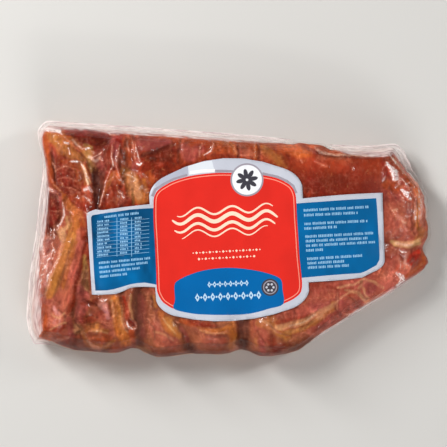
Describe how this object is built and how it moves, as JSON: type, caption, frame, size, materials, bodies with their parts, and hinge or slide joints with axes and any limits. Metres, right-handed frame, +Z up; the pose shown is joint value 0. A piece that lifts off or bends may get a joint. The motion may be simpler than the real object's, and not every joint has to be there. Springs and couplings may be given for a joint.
{
  "type": "vacuum pack of smoked pancetta",
  "caption": "Slab of smoked pork belly sealed in clear shrunken film, lying flat, with a die-cut winged label across its folded top face.",
  "frame": {"origin": "middle of the box's underside, on the surface the pack lies on", "axes": "+X along the pack towards its thin end, +Y towards the straight long edge, +Z up out of the labelled face"},
  "size_m": [0.2501, 0.1466, 0.0451],
  "materials": {
    "wrapped_pork": "gloss",
    "label_print": "satin",
    "clear_film": "gloss"
  },
  "bodies": {
    "root": {"vacuum_pack": "wrapped_pork", "label": "label_print"}
  },
  "joints": []
}
